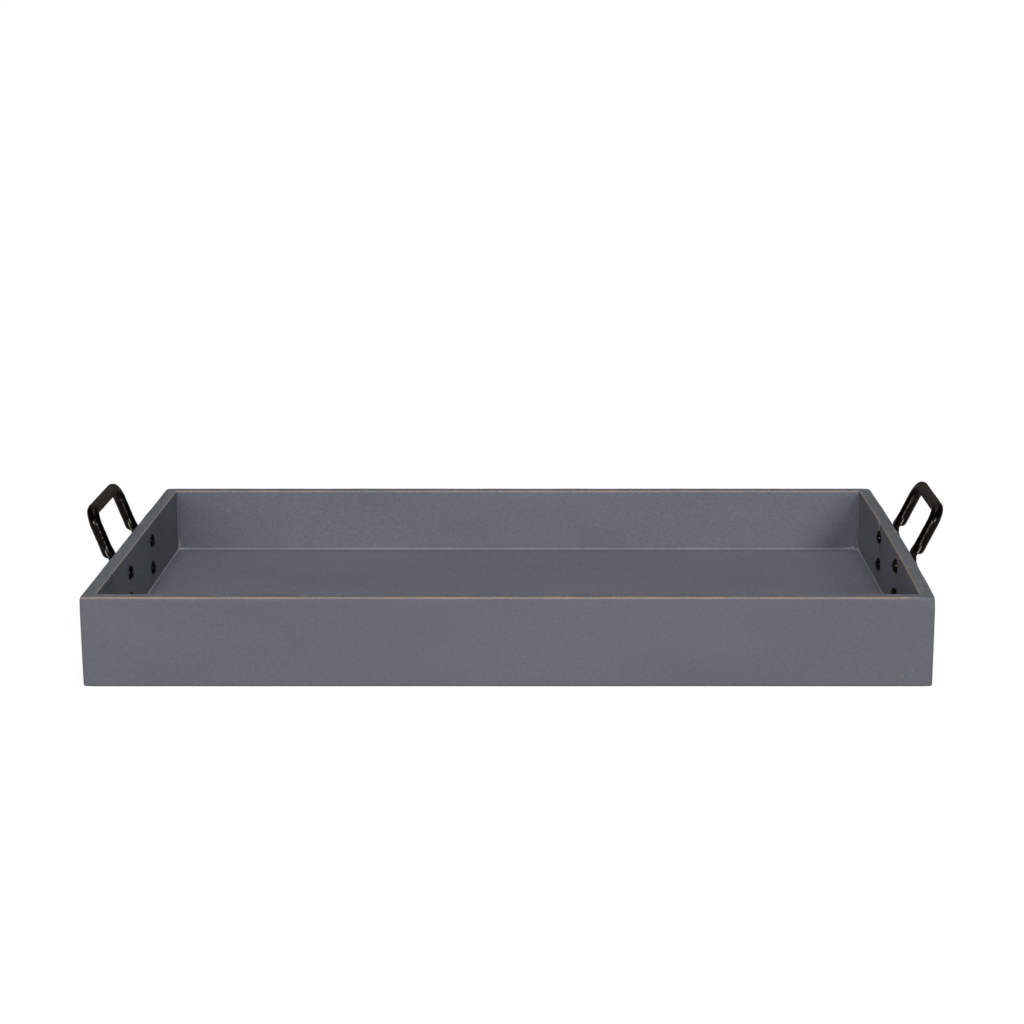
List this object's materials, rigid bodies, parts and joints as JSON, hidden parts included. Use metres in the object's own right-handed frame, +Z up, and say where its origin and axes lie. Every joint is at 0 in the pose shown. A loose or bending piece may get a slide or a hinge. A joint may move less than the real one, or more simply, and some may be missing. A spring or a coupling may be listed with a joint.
{
  "type": "rectangular tray",
  "caption": "Rectangular painted wooden serving tray: mitred sides, a flat base set up in a groove, and a forged iron handle riveted to each end.",
  "frame": {"origin": "middle of the tray's length and depth, on the surface that it stands on", "axes": "+X along the length towards the right handle, +Y towards the rear board, +Z up out of the tray"},
  "size_m": [0.7682, 0.418, 0.1208],
  "materials": {
    "painted_wood": "satin grey paint, rubbed through along the edges",
    "painted_panel": "satin grey paint",
    "forged_iron": "hammered, dark lacquered",
    "steel_wire": "drawn wire"
  },
  "bodies": {
    "root": {"front_board": "painted_wood", "rear_board": "painted_wood", "left_end_board": "painted_wood", "right_end_board": "painted_wood", "base_panel": "painted_panel", "left_handle": "forged_iron", "right_handle": "forged_iron", "left_rivet_front_upper": "forged_iron", "left_rivet_front_lower": "forged_iron", "left_rivet_rear_upper": "forged_iron", "left_rivet_rear_lower": "forged_iron", "right_rivet_front_upper": "forged_iron", "right_rivet_front_lower": "forged_iron", "right_rivet_rear_upper": "forged_iron", "right_rivet_rear_lower": "forged_iron", "front_left_brad_1": "steel_wire", "front_left_brad_2": "steel_wire", "front_left_brad_3": "steel_wire", "front_right_brad_1": "steel_wire", "front_right_brad_2": "steel_wire", "front_right_brad_3": "steel_wire", "rear_left_brad_1": "steel_wire", "rear_left_brad_2": "steel_wire", "rear_left_brad_3": "steel_wire", "rear_right_brad_1": "steel_wire", "rear_right_brad_2": "steel_wire", "rear_right_brad_3": "steel_wire"}
  },
  "joints": []
}
